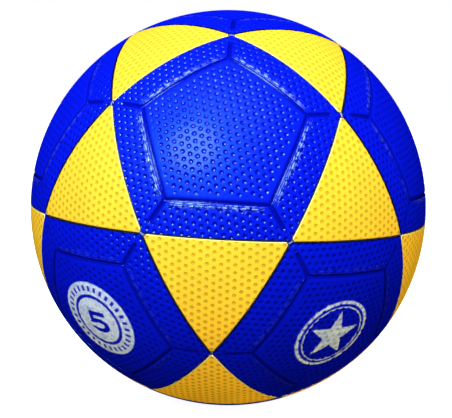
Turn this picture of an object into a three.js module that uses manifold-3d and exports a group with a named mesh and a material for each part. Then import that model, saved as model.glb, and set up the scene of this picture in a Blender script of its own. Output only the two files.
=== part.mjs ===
// A size 5 korfball, laid up in layers from the inside out: a butyl bladder with its valve,
// a winding of nylon thread, a thin rubber carcass, and a cover of 32 moulded rubber panels.
// The cover is twelve blue pentagons and twenty yellow triangles, whose seams run along six
// great circles. A groove is moulded round the middle of each pentagon, and a short spur of
// the same groove points at each of its corners.
//
// The frame's origin is the centre of the ball. +Z runs out through the valve, which sits in
// the middle of one pentagon. Lengths are in millimetres.
import * as THREE from "three";
import { mergeVertices } from "three/addons/utils/BufferGeometryUtils.js";
import Module from "manifold-3d";

// The ball and its layers, from the outside in.
const BALL_DIAMETER = 220;
const COVER_WALL = 2.2;
const CARCASS_WALL = 0.6;
const WINDING_WALL = 0.4;
const BLADDER_WALL = 0.6;
const LAYER_GAP = 0.3;
const SEAM_GAP = 0.3;

// The groove moulded into each pentagon. Its inset is measured from the seam to the middle of
// its floor. Its inner side is a long soft shoulder, and its outer side a steep wall.
const GROOVE_INSET = 16.5;
const GROOVE_FLOOR = 0.6;
const GROOVE_SHOULDER = 2.4;
const GROOVE_WALL = 0.8;
const GROOVE_DEPTH = 0.9;

// The spurs, which run from the groove's corners and stop short of the panel's corners.
const SPUR_WIDTH = 2.4;
const SPUR_DEPTH = 0.8;
const SPUR_END_INSET = 5.5;
const SPUR_RUN_OUT = 1.8;

// The valve: a moulded body bonded inside the bladder, a patch round it, and a soft core.
const VALVE_RECESS = 0.5;
const VALVE_GAP = 0.3;
const BODY_WALL = 1.3;
const BODY_EDGE_ROUND = 0.4;
const TAIL_LENGTH = 6.0;
const FLANGE_REACH = 8.5;
const FLANGE_WALL = 1.2;
const CORE_HEAD_DIAMETER = 6.0;
const CORE_HEAD_HEIGHT = 2.0;
const CORE_STEM_DIAMETER = 4.4;
const NEEDLE_BORE = 1.8;
const NEEDLE_MOUTH = 3.0;
const NEEDLE_MOUTH_DEPTH = 0.8;
const NEEDLE_END_WALL = 1.5;
const PATCH_REACH = 9.0;

// How finely the round surfaces are divided. Each side of a panel has SEAM_STEPS steps, and the
// loops at one and two thirds of the way out need fewer.
const SEAM_STEPS = 5;
const INNER_LOOPS = [{ share: 1 / 3, steps: 2 }, { share: 2 / 3, steps: 3 }];
const LAYER_DETAIL = 5;
const VALVE_STEPS = 24;
const ARC_STEPS = 3;

// Points closer than this are one point.
const SAME_POINT = 1e-4;

const wasm = await Module();
wasm.setup();

const BALL_RADIUS = BALL_DIAMETER / 2;
const PENTAGON_SIDES = 5;
const UP = new THREE.Vector3(0, 0, 1);

// A flat facet between points on a sphere lies below it. Each seam runs over a tenth of a great
// circle, so one step of it is the angle below, and no facet's middle is further from a corner.
// This is the radius that such a middle still reaches, so other facets clear it from inside.
const seamAngle = Math.PI / PENTAGON_SIDES;
const facetReach = seamAngle / SEAM_STEPS;
const clearOfFacets = (radius) => radius * Math.cos(facetReach);

const coverInside = BALL_RADIUS - COVER_WALL;
const carcassOutside = clearOfFacets(coverInside) - LAYER_GAP;
const carcassInside = carcassOutside - CARCASS_WALL;
const windingOutside = carcassInside - LAYER_GAP;
const windingInside = windingOutside - WINDING_WALL;
const bladderOutside = windingInside - LAYER_GAP;
const bladderInside = bladderOutside - BLADDER_WALL;
const flangeOutside = clearOfFacets(bladderInside) - LAYER_GAP;
const flangeInside = flangeOutside - FLANGE_WALL;

// Valve radii and levels, each from the piece that it has to pass or seat on.
const coreHeadRadius = CORE_HEAD_DIAMETER / 2;
const coreStemRadius = CORE_STEM_DIAMETER / 2;
const counterboreRadius = coreHeadRadius + VALVE_GAP;
const stemBoreRadius = coreStemRadius + VALVE_GAP;
const bodyRadius = counterboreRadius + BODY_WALL;
const valveHoleRadius = bodyRadius + VALVE_GAP;
const flangeRadius = bodyRadius + FLANGE_REACH;
const patchRadius = valveHoleRadius + PATCH_REACH;
const valveFace = BALL_RADIUS - VALVE_RECESS;
const tailEnd = flangeInside - TAIL_LENGTH;
const counterboreFloor = valveFace - CORE_HEAD_HEIGHT - VALVE_GAP;

const rubber = (color, roughness) =>
  new THREE.MeshStandardMaterial({ color, roughness, metalness: 0 });
const blueCover = rubber("#1425d2", 0.45);
const yellowCover = rubber("#ffdf2e", 0.45);
const carcassRubber = rubber("#3a3632", 0.8);
const nylonThread = rubber("#e9e4d6", 0.7);
const blackButyl = rubber("#1d1d1f", 0.6);
const valveRubber = rubber("#26262a", 0.5);
const coreRubber = rubber("#d9d6cc", 0.5);

const ball = new THREE.Group();

function addPiece(name, geometry, material) {
  const piece = new THREE.Mesh(geometry, material);
  piece.name = name;
  ball.add(piece);
}

// Booleans: a closed geometry becomes a solid, and the result comes back as a geometry.
function solidFrom(geometry) {
  const plain = new THREE.BufferGeometry();
  plain.setAttribute("position", geometry.getAttribute("position"));
  plain.setIndex(geometry.index);
  const merged = mergeVertices(plain, SAME_POINT);
  const vertProperties = merged.getAttribute("position").array;
  const triVerts = new Uint32Array(merged.index.array);
  return new wasm.Manifold(new wasm.Mesh({ numProp: 3, vertProperties, triVerts }));
}

function geometryFrom(solid) {
  const mesh = solid.getMesh();
  const geometry = new THREE.BufferGeometry();
  geometry.setAttribute("position", new THREE.BufferAttribute(mesh.vertProperties, 3));
  geometry.setIndex(new THREE.BufferAttribute(mesh.triVerts, 1));
  return geometry.toNonIndexed();
}

// Places on the unit sphere.
function alongArc(from, to, share) {
  const angle = from.angleTo(to);
  const start = from.clone().multiplyScalar(Math.sin((1 - share) * angle));
  const end = to.clone().multiplyScalar(Math.sin(share * angle));
  return start.add(end).normalize();
}

// The twelve pentagon centres are the corners of an icosahedron that stands on one corner.
function pentagonCentres() {
  const ringHeight = Math.atan(0.5);
  const centres = [UP.clone()];
  for (const [height, turn] of [[ringHeight, 0], [-ringHeight, Math.PI / PENTAGON_SIDES]]) {
    for (let i = 0; i < PENTAGON_SIDES; i++) {
      const around = turn - Math.PI / 2 + (i * 2 * Math.PI) / PENTAGON_SIDES;
      const flat = Math.cos(height);
      centres.push(new THREE.Vector3(flat * Math.cos(around), flat * Math.sin(around), Math.sin(height)));
    }
  }
  centres.push(UP.clone().negate());
  return centres;
}

const centres = pentagonCentres();
const areNeighbours = (a, b) => a !== b && a.dot(b) > 0;

// Directions put in order round a centre, anticlockwise as seen from outside.
function inOrderRound(centre, directions) {
  const across = new THREE.Vector3().crossVectors(centre, directions[0]).normalize();
  const ahead = new THREE.Vector3().crossVectors(across, centre);
  const turn = (d) => Math.atan2(d.dot(across), d.dot(ahead));
  return [...directions].sort((a, b) => turn(a) - turn(b));
}

// Each corner of a panel is shared by two pentagons and two triangles.
const sharedCorner = (a, b) => a.clone().add(b).normalize();

function pentagonPanels() {
  return centres.map((centre) => {
    const around = centres.filter((other) => areNeighbours(centre, other));
    return { centre, corners: inOrderRound(centre, around.map((other) => sharedCorner(centre, other))) };
  });
}

function trianglePanels() {
  const panels = [];
  centres.forEach((a, i) =>
    centres.slice(i + 1).forEach((b, j) =>
      centres.slice(i + j + 2).forEach((c) => {
        if (!areNeighbours(a, b) || !areNeighbours(b, c) || !areNeighbours(a, c)) return;
        const centre = a.clone().add(b).add(c).normalize();
        const corners = [sharedCorner(a, b), sharedCorner(b, c), sharedCorner(c, a)];
        panels.push({ centre, corners: inOrderRound(centre, corners) });
      }),
    ),
  );
  return panels;
}

// A panel is a stack of loops: from the middle of its outer face out to its edge, down the edge
// and back in to the middle of its inner face. A loop is a smaller copy of the panel's outline,
// with its sides at a given distance from the centre, and its points know how far round they are.
function panelLoop(panel, sideDistance, radius, steps) {
  const sides = panel.corners.length;
  const cornerAngle = panel.centre.angleTo(panel.corners[0]);
  const sideAngle = sideDistance / BALL_RADIUS;
  const reach = Math.atan(Math.tan(sideAngle) / Math.cos(Math.PI / sides)) / cornerAngle;
  const corners = panel.corners.map((corner) => alongArc(panel.centre, corner, reach));
  const loop = [];
  corners.forEach((corner, side) => {
    const next = corners[(side + 1) % sides];
    for (let step = 0; step < steps; step++) {
      const share = step / steps;
      loop.push({ at: alongArc(corner, next, share).multiplyScalar(radius), turn: side + share });
    }
  });
  return loop;
}

// The same loop where it crosses the spurs: each corner point sinks to the spur's floor, and
// a point on each side of it marks the spur's edges.
function loopAcrossSpurs(panel, sideDistance, steps, depth) {
  const sides = panel.corners.length;
  const loop = panelLoop(panel, sideDistance, BALL_RADIUS, steps);
  const crossed = [];
  loop.forEach((point, i) => {
    const before = loop[(i + loop.length - 1) % loop.length];
    const after = loop[(i + 1) % loop.length];
    if (!Number.isInteger(point.turn)) {
      crossed.push(point);
      return;
    }
    const slant = Math.cos(Math.PI / sides);
    const share = SPUR_WIDTH / 2 / slant / point.at.distanceTo(after.at);
    const edge = (other) => point.at.clone().lerp(other.at, share).setLength(BALL_RADIUS);
    const quarterStep = 1 / steps / 4;
    crossed.push({ at: edge(before), turn: point.turn - quarterStep });
    crossed.push({ at: point.at.clone().setLength(BALL_RADIUS - depth), turn: point.turn });
    crossed.push({ at: edge(after), turn: point.turn + quarterStep });
  });
  return crossed;
}

// The strip between two loops. It takes the shorter way forward each time, so the two loops
// may have different numbers of points.
function stripBetween(outer, inner, triangles) {
  const advance = (loop, i, sides) => loop[i % loop.length].turn + sides * Math.floor(i / loop.length);
  const sides = Math.ceil(Math.max(...outer.map((p) => p.turn), ...inner.map((p) => p.turn)));
  let i = 0;
  let j = 0;
  while (i < outer.length || j < inner.length) {
    const a = outer[i % outer.length].at;
    const b = inner[j % inner.length].at;
    const nextOuter = advance(outer, i + 1, sides) + advance(outer, i, sides);
    const nextInner = advance(inner, j + 1, sides) + advance(inner, j, sides);
    if (j >= inner.length || (i < outer.length && nextOuter <= nextInner)) {
      triangles.push(a, outer[(i + 1) % outer.length].at, b);
      i++;
    } else {
      triangles.push(a, inner[(j + 1) % inner.length].at, b);
      j++;
    }
  }
}

function fanFrom(middle, loop, triangles, outwards) {
  loop.forEach((point, i) => {
    const next = loop[(i + 1) % loop.length];
    triangles.push(middle, ...(outwards ? [point.at, next.at] : [next.at, point.at]));
  });
}

function bodyFromLoops(panel, loops) {
  const triangles = [];
  const outerMiddle = panel.centre.clone().multiplyScalar(BALL_RADIUS);
  const innerMiddle = panel.centre.clone().multiplyScalar(coverInside);
  fanFrom(outerMiddle, loops[0], triangles, true);
  for (let i = 0; i + 1 < loops.length; i++) stripBetween(loops[i + 1], loops[i], triangles);
  fanFrom(innerMiddle, loops[loops.length - 1], triangles, false);
  return new THREE.BufferGeometry().setFromPoints(triangles);
}

// The distance along the surface from a panel's centre to its sides, less half the seam.
function edgeDistance(panel) {
  const middleOfSide = sharedCorner(panel.corners[0], panel.corners[1]);
  return panel.centre.angleTo(middleOfSide) * BALL_RADIUS - SEAM_GAP / 2;
}

// The loops between a panel's middle and a given distance out, on its outer or inner face.
function loopsWithin(panel, distance, radius) {
  return INNER_LOOPS.map(({ share, steps }) => panelLoop(panel, distance * share, radius, steps));
}

// The inner face of any panel: its edge, and the loops in from it.
function insideLoops(panel, edge) {
  const edgeLoop = panelLoop(panel, edge, coverInside, SEAM_STEPS);
  return [edgeLoop, ...loopsWithin(panel, edge, coverInside).reverse()];
}

function pentagonBody(panel) {
  const edge = edgeDistance(panel);
  const seam = edge + SEAM_GAP / 2;
  const groove = seam - GROOVE_INSET;
  const innerLip = groove - GROOVE_FLOOR / 2 - GROOVE_SHOULDER;
  const outerLip = groove + GROOVE_FLOOR / 2 + GROOVE_WALL;
  const floorRadius = BALL_RADIUS - GROOVE_DEPTH;
  const spurEnd = spurEndDistance(panel);
  const spurLast = spurEnd - SPUR_RUN_OUT * Math.cos(Math.PI / PENTAGON_SIDES);
  return bodyFromLoops(panel, [
    ...loopsWithin(panel, innerLip, BALL_RADIUS),
    panelLoop(panel, innerLip, BALL_RADIUS, SEAM_STEPS),
    panelLoop(panel, groove - GROOVE_FLOOR / 2, floorRadius, SEAM_STEPS),
    panelLoop(panel, groove + GROOVE_FLOOR / 2, floorRadius, SEAM_STEPS),
    loopAcrossSpurs(panel, outerLip, SEAM_STEPS, SPUR_DEPTH),
    loopAcrossSpurs(panel, spurLast, SEAM_STEPS, SPUR_DEPTH),
    panelLoop(panel, spurEnd, BALL_RADIUS, SEAM_STEPS),
    panelLoop(panel, edge, BALL_RADIUS, SEAM_STEPS),
    ...insideLoops(panel, edge),
  ]);
}

// Where a spur ends, as the distance of the loop whose corner lies there.
function spurEndDistance(panel) {
  const cornerAngle = panel.centre.angleTo(panel.corners[0]) - SPUR_END_INSET / BALL_RADIUS;
  return Math.atan(Math.tan(cornerAngle) * Math.cos(Math.PI / PENTAGON_SIDES)) * BALL_RADIUS;
}

function triangleBody(panel) {
  const edge = edgeDistance(panel);
  return bodyFromLoops(panel, [
    ...loopsWithin(panel, edge, BALL_RADIUS),
    panelLoop(panel, edge, BALL_RADIUS, SEAM_STEPS),
    ...insideLoops(panel, edge),
  ]);
}

// A round bar along the valve's axis, long enough to pass through every layer.
function valveBar(radius) {
  const length = BALL_RADIUS;
  const bar = new THREE.CylinderGeometry(radius, radius, length, VALVE_STEPS);
  return solidFrom(bar.rotateX(Math.PI / 2).translate(0, 0, BALL_RADIUS));
}

const valveHole = valveBar(valveHoleRadius);

// The cover.
const numbered = (name, i) => name + "_" + String(i + 1).padStart(2, "0");

pentagonPanels().forEach((panel, i) => {
  const body = pentagonBody(panel);
  const isValvePanel = panel.centre.equals(UP);
  const finished = isValvePanel ? geometryFrom(solidFrom(body).subtract(valveHole)) : body;
  addPiece(numbered("pentagon_panel", i), finished, blueCover);
});

trianglePanels().forEach((panel, i) => {
  addPiece(numbered("triangle_panel", i), triangleBody(panel), yellowCover);
});

// The layers under the cover are hollow balls, open only at the valve.
const sphere = (radius) => solidFrom(new THREE.IcosahedronGeometry(radius, LAYER_DETAIL));
const hollowBall = (outside, inside) => sphere(outside).subtract(sphere(inside));

const carcass = hollowBall(carcassOutside, carcassInside).subtract(valveHole);
addPiece("rubber_carcass", geometryFrom(carcass), carcassRubber);

const threadLayer = hollowBall(windingOutside, windingInside);
const winding = threadLayer.subtract(valveBar(patchRadius + VALVE_GAP));
addPiece("thread_winding", geometryFrom(winding), nylonThread);

const patch = threadLayer.intersect(valveBar(patchRadius)).subtract(valveHole);
addPiece("valve_patch", geometryFrom(patch), blackButyl);

const bladder = hollowBall(bladderOutside, bladderInside).subtract(valveHole);
addPiece("bladder", geometryFrom(bladder), blackButyl);

// The valve's two pieces are turned: each profile is a list of [radius, height].
function turned(profile) {
  const points = profile.map(([radius, height]) => new THREE.Vector2(radius, height));
  return new THREE.LatheGeometry(points, VALVE_STEPS).rotateX(Math.PI / 2);
}

// Points on an arc about the ball's centre, between two distances from the valve's axis.
function arcProfile(radius, from, to) {
  const start = Math.asin(from / radius);
  const end = Math.asin(to / radius);
  return Array.from({ length: ARC_STEPS + 1 }, (_, i) => {
    const angle = start + ((end - start) * i) / ARC_STEPS;
    return [radius * Math.sin(angle), radius * Math.cos(angle)];
  });
}

const bodyProfile = [
  [stemBoreRadius, tailEnd],
  [bodyRadius - BODY_EDGE_ROUND, tailEnd],
  [bodyRadius, tailEnd + BODY_EDGE_ROUND],
  ...arcProfile(flangeInside, bodyRadius, flangeRadius),
  ...arcProfile(flangeOutside, bodyRadius, flangeRadius).reverse(),
  [bodyRadius, valveFace - BODY_EDGE_ROUND],
  [bodyRadius - BODY_EDGE_ROUND, valveFace],
  [counterboreRadius, valveFace],
  [counterboreRadius, counterboreFloor],
  [stemBoreRadius, counterboreFloor],
  [stemBoreRadius, tailEnd],
];
addPiece("valve_body", turned(bodyProfile), valveRubber);

const coreHeadFloor = valveFace - CORE_HEAD_HEIGHT;
const needleEnd = tailEnd + NEEDLE_END_WALL;
const coreProfile = [
  [0, tailEnd],
  [coreStemRadius, tailEnd],
  [coreStemRadius, coreHeadFloor],
  [coreHeadRadius, coreHeadFloor],
  [coreHeadRadius, valveFace],
  [NEEDLE_MOUTH / 2, valveFace],
  [NEEDLE_BORE / 2, valveFace - NEEDLE_MOUTH_DEPTH],
  [NEEDLE_BORE / 2, needleEnd],
  [0, needleEnd],
];
addPiece("valve_core", turned(coreProfile), coreRubber);

export default ball;
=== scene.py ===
# %% [markdown]
# # A size 5 korfball
#
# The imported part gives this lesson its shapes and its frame: a ball of 32 rubber panels over
# three thin layers and a bladder. Here each cover panel is modelled again with all that the
# eye meets close up: about 580 dimples on every blue panel, the moulded groove with its
# imitation stitching, the rounded seams and the printed badge. The layers inside keep the
# part's own bodies and get better finishes.

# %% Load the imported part
import math

import bpy
import numpy as np
from mathutils import Matrix, Vector


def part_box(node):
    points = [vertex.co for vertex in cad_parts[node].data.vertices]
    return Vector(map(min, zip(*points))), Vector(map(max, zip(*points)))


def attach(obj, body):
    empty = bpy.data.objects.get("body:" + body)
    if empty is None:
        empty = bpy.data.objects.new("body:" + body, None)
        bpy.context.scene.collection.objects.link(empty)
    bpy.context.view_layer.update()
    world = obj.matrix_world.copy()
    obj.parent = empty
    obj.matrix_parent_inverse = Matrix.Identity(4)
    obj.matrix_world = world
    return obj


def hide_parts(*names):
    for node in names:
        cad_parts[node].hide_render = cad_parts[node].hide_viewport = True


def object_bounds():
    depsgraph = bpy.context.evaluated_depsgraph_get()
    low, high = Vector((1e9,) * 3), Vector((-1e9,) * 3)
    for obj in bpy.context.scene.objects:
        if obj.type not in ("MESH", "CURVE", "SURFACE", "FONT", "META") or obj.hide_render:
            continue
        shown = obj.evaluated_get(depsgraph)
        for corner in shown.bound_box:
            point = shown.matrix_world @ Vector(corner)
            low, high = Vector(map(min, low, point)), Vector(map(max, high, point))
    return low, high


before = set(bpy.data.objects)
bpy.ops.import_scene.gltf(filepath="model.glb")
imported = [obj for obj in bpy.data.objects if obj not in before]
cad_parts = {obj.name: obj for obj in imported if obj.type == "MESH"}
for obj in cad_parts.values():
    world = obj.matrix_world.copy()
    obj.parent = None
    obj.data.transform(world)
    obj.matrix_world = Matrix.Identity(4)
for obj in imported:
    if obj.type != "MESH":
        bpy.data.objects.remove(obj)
cad_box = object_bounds()
MM = 0.001
BALL_RADIUS = cad_box[1].x
print("ball radius", round(BALL_RADIUS / MM, 2), "mm,", len(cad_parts), "nodes")

# %% [markdown]
# ## The camera
#
# The ball was photographed from close by, a little above its middle. A camera is easiest to
# place by its direction from the subject: how far round, how high and how far away. Its roll
# is a turn about its own line of sight. The small shift puts the ball a little off the middle
# of the picture without turning the camera, so nothing in the perspective changes.

# %% Place the camera
CAMERA_ROUND = math.radians(2.682)
CAMERA_HEIGHT = math.radians(7.691)
CAMERA_ROLL = math.radians(2.921)
CAMERA_DISTANCE = 4.6605 * BALL_RADIUS
LENS_MM = 71.68
SENSOR_MM = 36.0
SHIFT = (-0.00503, -0.00307)
NEAREST_SEEN = 0.01


def sky_direction(around, height):
    """A unit vector: around is 0 towards the viewer (-Y) and grows anticlockwise from above."""
    flat = math.cos(height)
    return Vector((math.sin(around) * flat, -math.cos(around) * flat, math.sin(height)))


towards_camera = sky_direction(CAMERA_ROUND, CAMERA_HEIGHT)
bpy.ops.object.select_all(action="DESELECT")
bpy.ops.object.camera_add(location=towards_camera * CAMERA_DISTANCE)
camera = bpy.context.object
camera.name = "camera"
aim = towards_camera.to_track_quat("Z", "Y").to_matrix()
camera.rotation_euler = (aim @ Matrix.Rotation(CAMERA_ROLL, 3, "Z")).to_euler()
camera.data.sensor_width = SENSOR_MM
camera.data.lens = LENS_MM
camera.data.shift_x, camera.data.shift_y = SHIFT
camera.data.clip_start = NEAREST_SEEN
bpy.context.scene.camera = camera
print("camera at", [round(c, 3) for c in camera.location])

# %% [markdown]
# ## The cover's plan
#
# Twelve pentagons and twenty triangles whose edges lie on six great circles make an
# icosidodecahedron. The pentagons' centres are the corners of an icosahedron standing on one
# corner, and each triangle sits between three of them. So all 32 places follow from one
# formula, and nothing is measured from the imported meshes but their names. Two pentagons that
# are neighbours have their middles 63.4 degrees apart, and a pentagon and a triangle that
# touch 37.4 degrees, so limits a little above these find them.

# %% Work out where the panels go
RING_HEIGHT = math.atan(0.5)
FIFTH = math.radians(72)
pole = Vector((0, 0, 1))
pentagon_centres = [pole]
for height, turn in ((RING_HEIGHT, 0), (-RING_HEIGHT, FIFTH / 2)):
    pentagon_centres += [sky_direction(turn + i * FIFTH, height) for i in range(5)]
pentagon_centres.append(-pole)
NEIGHBOUR_ANGLE = math.radians(64)
TOUCHING_ANGLE = math.radians(45)


def are_neighbours(a, b):
    return 0 < a.angle(b) < NEIGHBOUR_ANGLE


triangle_corners = [
    (a, b, c)
    for i, a in enumerate(pentagon_centres)
    for j, b in enumerate(pentagon_centres[i + 1:], i + 1)
    for c in pentagon_centres[j + 1:]
    if are_neighbours(a, b) and are_neighbours(b, c) and are_neighbours(a, c)
]
triangle_centres = [(a + b + c).normalized() for a, b, c in triangle_corners]
side_ends = [(pole + pentagon_centres[i]).normalized() for i in (1, 2)]
PENTAGON_APOTHEM = pole.angle(side_ends[0] + side_ends[1])
TRIANGLE_APOTHEM = pole.angle(triangle_centres[0]) - PENTAGON_APOTHEM
print(len(pentagon_centres), "pentagons and", len(triangle_centres), "triangles")

# %% [markdown]
# ## Small tools for modelling in code
#
# Modelling by operators means three moves over and over: deselect everything, select some
# faces or points by where they are, and run the operator. These helpers do the selecting, so
# that each later step reads like the work at the screen.

# %% Helpers for selecting and reading points
def object_mode():
    """Leaves edit mode, which keeps its changes to itself until then."""
    if bpy.context.mode != "OBJECT":
        bpy.ops.object.mode_set(mode="OBJECT")


def deselect_all():
    object_mode()
    bpy.ops.object.select_all(action="DESELECT")


def make_active(piece):
    deselect_all()
    piece.select_set(True)
    bpy.context.view_layer.objects.active = piece


def read_rows(items, field):
    """A field of all points or all faces, as rows of x, y, z."""
    flat = np.empty(len(items) * 3)
    items.foreach_get(field, flat)
    return flat.reshape(-1, 3)


def points_of(piece):
    object_mode()
    return read_rows(piece.data.vertices, "co")


def face_middles(piece):
    object_mode()
    return read_rows(piece.data.polygons, "center")


def move_points(piece, points):
    piece.data.vertices.foreach_set("co", np.ascontiguousarray(points).ravel())
    piece.data.update()


def picked_points(piece):
    """For each point, whether it is selected."""
    object_mode()
    picked = np.empty(len(piece.data.vertices), bool)
    piece.data.vertices.foreach_get("select", picked)
    return picked


def select_in_edit_mode(piece, faces=None, points=None):
    """Goes into edit mode with only these faces, or only these points, selected."""
    object_mode()
    mesh = piece.data
    for items in (mesh.vertices, mesh.edges, mesh.polygons):
        items.foreach_set("select", np.zeros(len(items), bool))
    if faces is not None:
        mesh.polygons.foreach_set("select", faces)
    if points is not None:
        mesh.vertices.foreach_set("select", points)
    bpy.context.tool_settings.mesh_select_mode = (points is not None, False, points is None)
    bpy.ops.object.mode_set(mode="EDIT")


def select_whole(piece):
    deselect_all()
    select_in_edit_mode(piece, faces=np.ones(len(piece.data.polygons), bool))


def select_open_edge():
    """In edit mode: selects the edges that have a face on one side only."""
    bpy.context.tool_settings.mesh_select_mode = (False, True, False)
    bpy.ops.mesh.select_all(action="DESELECT")
    bpy.ops.mesh.select_non_manifold()


# %% [markdown]
# ## One dimple
#
# The cover's grip comes from small round hollows in rows 3.2 mm apart. One of them can start
# as a flat disc: insets with depth make the bowl's wall in one or two steps, a poke makes its
# middle, and the disc's rim is extruded outwards to a hexagon, because hexagons fill a sheet
# without gaps. Twelve corners are enough for a hollow of 2.6 mm, and matter here, because it
# is repeated 10,000 times. The blue panels have the deeper bowl, with its wall in two steps,
# so that some part of it always faces the light. The yellow panels' hollows look softer.

# %% Model the two kinds of dimple
DIMPLE_PITCH = 3.72 * MM
DIMPLE_RADIUS = 1.32 * MM
RIM_WIDTH = 0.12 * MM
DEEP_BOWL = ((0.26 * MM, 0.26 * MM), (0.46 * MM, 0.18 * MM))
SOFT_BOWL = ((0.50 * MM, 0.30 * MM),)
BOWL_MIDDLE_DEPTH = 0.04 * MM
DIMPLE_SIDES = 12
HEXAGON_RADIUS = DIMPLE_PITCH / math.sqrt(3)
HEXAGON_TURN = 60
NEARLY = 0.01


def model_dimple(name, bowl):
    """One hollow in a hexagon of skin. The bowl lists the width and depth of each step."""
    deselect_all()
    bpy.ops.mesh.primitive_circle_add(
        vertices=DIMPLE_SIDES, radius=DIMPLE_RADIUS, fill_type="NGON", location=(0, 0, 0)
    )
    dimple = bpy.context.object
    dimple.name = name
    select_in_edit_mode(dimple, faces=np.ones(1, bool))
    bpy.ops.mesh.inset(thickness=RIM_WIDTH)
    for width, depth in bowl:
        bpy.ops.mesh.inset(thickness=width, depth=-depth)
    bpy.ops.mesh.poke(offset=-BOWL_MIDDLE_DEPTH)
    select_open_edge()
    bpy.ops.mesh.extrude_region_move()
    grow = HEXAGON_RADIUS / DIMPLE_RADIUS
    bpy.ops.transform.resize(value=(grow, grow, 1))

    # Rows run along X, so the hexagon's flats face along X: their middle points go.
    points = points_of(dimple)
    flats_round = np.degrees(np.arctan2(points[:, 1], points[:, 0])) / HEXAGON_TURN
    on_flat = np.isclose(flats_round, np.round(flats_round), atol=NEARLY)
    outermost = np.hypot(points[:, 0], points[:, 1]) > HEXAGON_RADIUS * (1 - NEARLY)
    select_in_edit_mode(dimple, points=on_flat & outermost)
    bpy.ops.mesh.dissolve_verts()
    object_mode()
    print(name, "has", len(dimple.data.polygons), "faces")
    return dimple


deep_dimple = model_dimple("deep_dimple", DEEP_BOWL)
soft_dimple = model_dimple("soft_dimple", SOFT_BOWL)

# %% [markdown]
# ## A flat sheet of dimples
#
# Three array modifiers turn the one hollow into a sheet: the first adds its neighbour half a
# pitch along in the next row, the second repeats the pair along the row, and the third
# repeats the double row. Applying them gives plain faces, and merging the points where the
# hexagons meet makes them one skin.

# %% Repeat a dimple into a sheet
MERGE_DISTANCE = DIMPLE_PITCH / 100


def copy_of(piece, name):
    twin = piece.copy()
    twin.data = piece.data.copy()
    twin.name = name
    bpy.context.scene.collection.objects.link(twin)
    return twin


def dimple_sheet(dimple, name, reach):
    """A sheet of dimples about the origin, at least reach wide on every side of it."""
    sheet = copy_of(dimple, name)
    make_active(sheet)
    double_row = DIMPLE_PITCH * math.sqrt(3)
    along = 2 * math.ceil(reach / DIMPLE_PITCH) + 1
    across = 2 * math.ceil(reach / double_row) + 1
    for count, step in (
        (2, (DIMPLE_PITCH / 2, double_row / 2)),
        (along, (DIMPLE_PITCH, 0)),
        (across, (0, double_row)),
    ):
        array = sheet.modifiers.new("rows", "ARRAY")
        array.count = count
        array.use_relative_offset = False
        array.use_constant_offset = True
        array.constant_offset_displace = (*step, 0)
        bpy.ops.object.modifier_apply(modifier=array.name)
    select_whole(sheet)
    bpy.ops.mesh.remove_doubles(threshold=MERGE_DISTANCE)
    start = np.array([along // 2 * DIMPLE_PITCH, across // 2 * double_row, 0])
    move_points(sheet, points_of(sheet) - start)
    return sheet


# %% [markdown]
# ## Bending the sheet over the ball
#
# A moulded panel is flat when it leaves the press and is stretched over the ball. The sheet is
# bent the same way: a point's distance from the middle becomes a distance along the surface,
# and its height above the sheet becomes height above the ball. No modifier bends a sheet both
# ways at once and keeps those distances, so this one step moves the points by a formula.

# %% Bend a sheet over the ball
ALMOST_NOTHING = 1e-9


def bend_over_ball(sheet):
    flat_points = points_of(sheet)
    out = np.hypot(flat_points[:, 0], flat_points[:, 1])
    angle = out / BALL_RADIUS
    share = np.sin(angle) / np.maximum(out, ALMOST_NOTHING)
    bent = np.stack([flat_points[:, 0] * share, flat_points[:, 1] * share, np.cos(angle)], 1)
    move_points(sheet, bent * (BALL_RADIUS + flat_points[:, 2:3]))


# %% [markdown]
# ## Measuring on a panel
#
# Each panel is modelled round the top of the ball, with the middle of one side towards +X. A
# side of a panel is part of a great circle, which is a straight cut through the ball's centre.
# So a single number says how far out a point is: the distance from the middle to the great
# circle through the point that leans on the nearest side. The seam, the groove and all the
# steps of its slopes are places where this number has one value.

# %% Measure along and across a panel's sides
def side_turns(sides):
    return [2 * math.pi * k / sides for k in range(sides)]


def cut_direction(turn, out):
    """The normal of the plane through the ball's centre, out along the surface from the top."""
    lean = out / BALL_RADIUS
    flat_part = math.cos(lean)
    return Vector((math.cos(turn) * flat_part, math.sin(turn) * flat_part, -math.sin(lean)))


def measure_towards(places, turns):
    """For each place: its distance towards the nearest direction, which one, and beside it."""
    turns = np.array(turns)
    towards = places[:, :1] * np.cos(turns) + places[:, 1:2] * np.sin(turns)
    nearest = towards.argmax(1)
    ahead = BALL_RADIUS * np.arctan2(towards[np.arange(len(places)), nearest], places[:, 2])
    sideways = places[:, 1] * np.cos(turns[nearest]) - places[:, 0] * np.sin(turns[nearest])
    beside = BALL_RADIUS * np.arcsin(sideways / np.linalg.norm(places, axis=1))
    return ahead, nearest, beside


def distance_out(places, sides):
    """For each place: its distance out towards its side, the side, and the distance along it."""
    return measure_towards(places, side_turns(sides))


def corner_turns(sides):
    return [turn + math.pi / sides for turn in side_turns(sides)]


def corner_distance(seam, sides):
    """How far a panel's corner lies from its middle, when its sides are this far out."""
    return BALL_RADIUS * math.atan(math.tan(seam / BALL_RADIUS) / math.cos(math.pi / sides))


def distance_to_corner(places, sides):
    """For each place: its distance out towards the nearest corner, and to one side of it."""
    ahead, _, beside = measure_towards(places, corner_turns(sides))
    return ahead, beside


def corner_axes(turn):
    """The directions out towards a corner and across it, seen from above."""
    outwards = np.array([math.cos(turn), math.sin(turn), 0])
    return outwards, Vector((-math.sin(turn), math.cos(turn), 0))


def smooth_step(value, start, end):
    share = np.clip((value - start) / (end - start), 0, 1)
    return share * share * (3 - 2 * share)


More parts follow.
